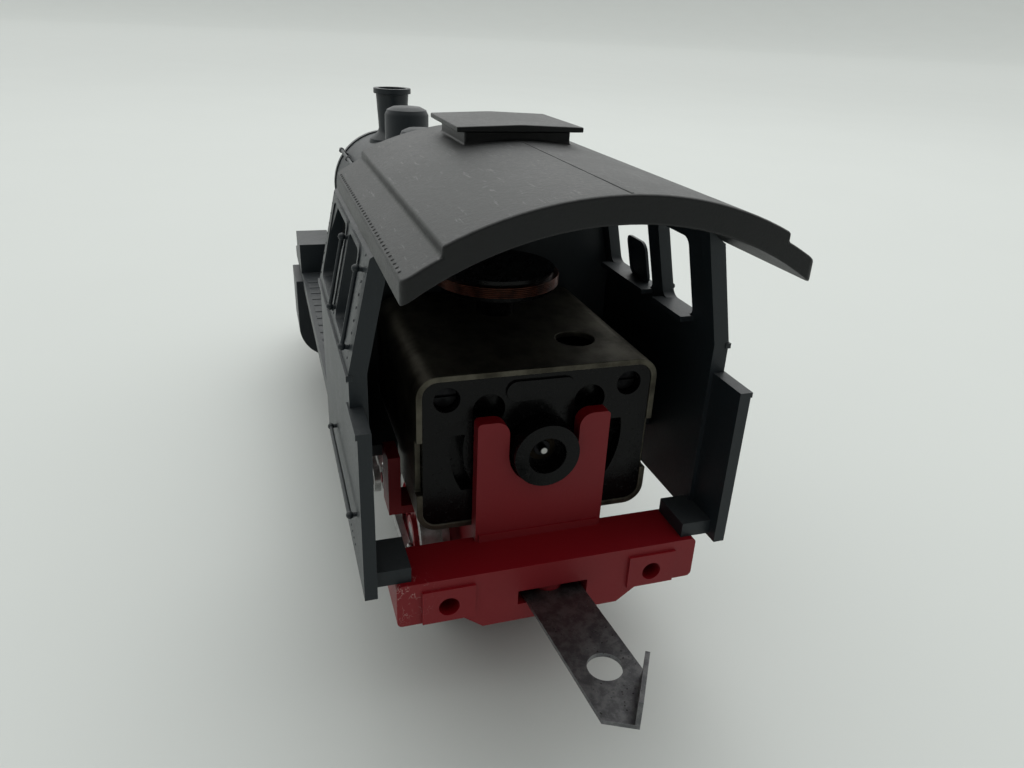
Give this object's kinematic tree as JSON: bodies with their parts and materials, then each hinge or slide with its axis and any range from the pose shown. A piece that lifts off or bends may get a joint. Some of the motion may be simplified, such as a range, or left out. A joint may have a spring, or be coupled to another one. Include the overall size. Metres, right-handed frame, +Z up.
{
  "type": "model steam locomotive",
  "caption": "Scale model tender-type steam locomotive with an open-backed cab, a visible can motor, coupled driving wheels, a leading truck and a flat swinging tender drawbar.",
  "frame": {"origin": "bottom centre of the whole model's box, on the plane the wheel flanges reach", "axes": "+X forwards to the front buffers, +Y to the locomotive's left, +Z up"},
  "size_m": [0.125, 0.0366, 0.0519],
  "materials": {
    "body_black": "satin black moulding",
    "roof_black": "dark grey moulding, slightly dusty",
    "frame_red": "crimson red moulding",
    "motor_steel": "dull plated steel",
    "shield_black": "black moulding",
    "ferrite": "sintered",
    "copper": "copper",
    "brass": "turned brass",
    "bright_steel": "turned and plated steel",
    "drawbar_steel": "dark browned steel",
    "zinc": "cast weight",
    "lens": "clear lens",
    "nylon": "natural nylon",
    "carbon": "carbon",
    "buffer_black": "blackened metal"
  },
  "bodies": {
    "locomotive": {"air_pump": "body_black", "ballast_weight": "zinc", "body_screw": "bright_steel", "boiler_shell": "body_black", "cab_front_wall": "body_black", "cab_handrails": "body_black", "cab_roof": "roof_black", "cab_side_left": "body_black", "cab_side_right": "body_black", "chassis_frame": "frame_red", "chimney": "body_black", "choke_bobbin": "shield_black", "choke_winding": "copper", "cylinder_left": "body_black", "cylinder_right": "body_black", "drawbar_keeper": "frame_red", "front_beam": "frame_red", "front_buffers": "buffer_black", "headlamps": "body_black", "keeper_plate": "frame_red", "lamp_lenses": "lens", "motor_bearings": "brass", "motor_brushes": "carbon", "motor_case": "motor_steel", "motor_end_shield": "shield_black", "motor_front_plate": "shield_black", "motor_magnets": "ferrite", "motor_screws": "bright_steel", "roof_vent_lid": "roof_black", "running_board_left": "body_black", "running_board_right": "body_black", "safety_valves": "body_black", "sand_dome": "body_black", "small_screws": "bright_steel", "smokebox": "body_black", "smokebox_door": "body_black", "steam_dome": "body_black"},
    "rear_axle": {"axle_rear": "bright_steel", "drive_wheels_rear": "frame_red"},
    "middle_axle": {"axle_middle": "bright_steel", "drive_wheels_middle": "frame_red", "axle_gear": "nylon"},
    "front_axle": {"axle_front": "bright_steel", "drive_wheels_front": "frame_red"},
    "rotor": {"rotor_shaft": "bright_steel", "rotor_core": "motor_steel", "rotor_windings": "copper", "commutator": "copper", "worm": "brass"},
    "worm_wheel": {"worm_wheel": "nylon"},
    "idler": {"idler_gear": "nylon"},
    "left_coupling_rod": {"coupling_rod_left": "bright_steel"},
    "right_coupling_rod": {"coupling_rod_right": "bright_steel"},
    "left_crosshead": {"crosshead_left": "bright_steel"},
    "right_crosshead": {"crosshead_right": "bright_steel"},
    "left_main_rod": {"main_rod_left": "bright_steel"},
    "right_main_rod": {"main_rod_right": "bright_steel"},
    "leading_truck": {"pony_frame": "frame_red"},
    "leading_wheels": {"pony_wheelset": "frame_red"},
    "drawbar": {"drawbar": "drawbar_steel"}
  },
  "joints": [
    {"name": "middle_axle_spin", "type": "hinge", "parent": "locomotive", "child": "middle_axle", "pos_m": [-0.01097, 0, 0.008], "axis": [0, 1, 0], "continuous": true},
    {"name": "rear_axle_spin", "type": "hinge", "parent": "locomotive", "child": "rear_axle", "pos_m": [-0.02847, 0, 0.008], "axis": [0, 1, 0], "continuous": true},
    {"name": "front_axle_spin", "type": "hinge", "parent": "locomotive", "child": "front_axle", "pos_m": [0.00653, 0, 0.008], "axis": [0, 1, 0], "continuous": true},
    {"name": "worm_wheel_spin", "type": "hinge", "parent": "locomotive", "child": "worm_wheel", "pos_m": [-0.01097, 0, 0.0189], "axis": [0, 1, 0], "continuous": true},
    {"name": "idler_spin", "type": "hinge", "parent": "locomotive", "child": "idler", "pos_m": [-0.00704, 0, 0.01357], "axis": [0, 1, 0], "continuous": true},
    {"name": "rotor_spin", "type": "hinge", "parent": "locomotive", "child": "rotor", "pos_m": [-0.03297, 0, 0.0248], "axis": [1, 0, 0], "continuous": true},
    {"name": "left_coupling_rod_pivot", "type": "hinge", "parent": "middle_axle", "child": "left_coupling_rod", "pos_m": [-0.01396, 0.01057, 0.00661], "axis": [0, 1, 0], "continuous": true},
    {"name": "right_coupling_rod_pivot", "type": "hinge", "parent": "middle_axle", "child": "right_coupling_rod", "pos_m": [-0.00957, -0.01057, 0.00501], "axis": [0, 1, 0], "continuous": true},
    {"name": "left_crosshead_slide", "type": "slide", "parent": "locomotive", "child": "left_crosshead", "axis": [1, 0, 0], "range_m": [-0.00013, 0.00653]},
    {"name": "right_crosshead_slide", "type": "slide", "parent": "locomotive", "child": "right_crosshead", "axis": [1, 0, 0], "range_m": [-0.00419, 0.00247]},
    {"name": "left_main_rod_pivot", "type": "hinge", "parent": "left_crosshead", "child": "left_main_rod", "pos_m": [0.01559, 0.0117, 0.0118], "axis": [0, 1, 0], "range_deg": [-3.72, 9.02]},
    {"name": "right_main_rod_pivot", "type": "hinge", "parent": "right_crosshead", "child": "right_main_rod", "pos_m": [0.01965, -0.0117, 0.0118], "axis": [0, 1, 0], "range_deg": [-0.61, 12.13]},
    {"name": "leading_truck_swing", "type": "hinge", "parent": "locomotive", "child": "leading_truck", "pos_m": [0.01753, 0, 0.0076], "axis": [0, 0, 1], "range_deg": [-7, 7]},
    {"name": "leading_wheels_spin", "type": "hinge", "parent": "leading_truck", "child": "leading_wheels", "pos_m": [0.04353, 0, 0.0054], "axis": [0, 1, 0], "continuous": true},
    {"name": "drawbar_swing", "type": "hinge", "parent": "locomotive", "child": "drawbar", "pos_m": [-0.04487, 0, 0.0119], "axis": [0, 0, 1], "range_deg": [-17, 7]}
  ],
  "couplings": [
    {"joint": "rear_axle_spin", "follows": "middle_axle_spin", "ratio": 1},
    {"joint": "front_axle_spin", "follows": "middle_axle_spin", "ratio": 1},
    {"joint": "idler_spin", "follows": "middle_axle_spin", "ratio": -1.6154},
    {"joint": "worm_wheel_spin", "follows": "middle_axle_spin", "ratio": 1.05},
    {"joint": "rotor_spin", "follows": "middle_axle_spin", "ratio": -21},
    {"joint": "left_coupling_rod_pivot", "follows": "middle_axle_spin", "ratio": -1},
    {"joint": "right_coupling_rod_pivot", "follows": "middle_axle_spin", "ratio": -1}
  ]
}
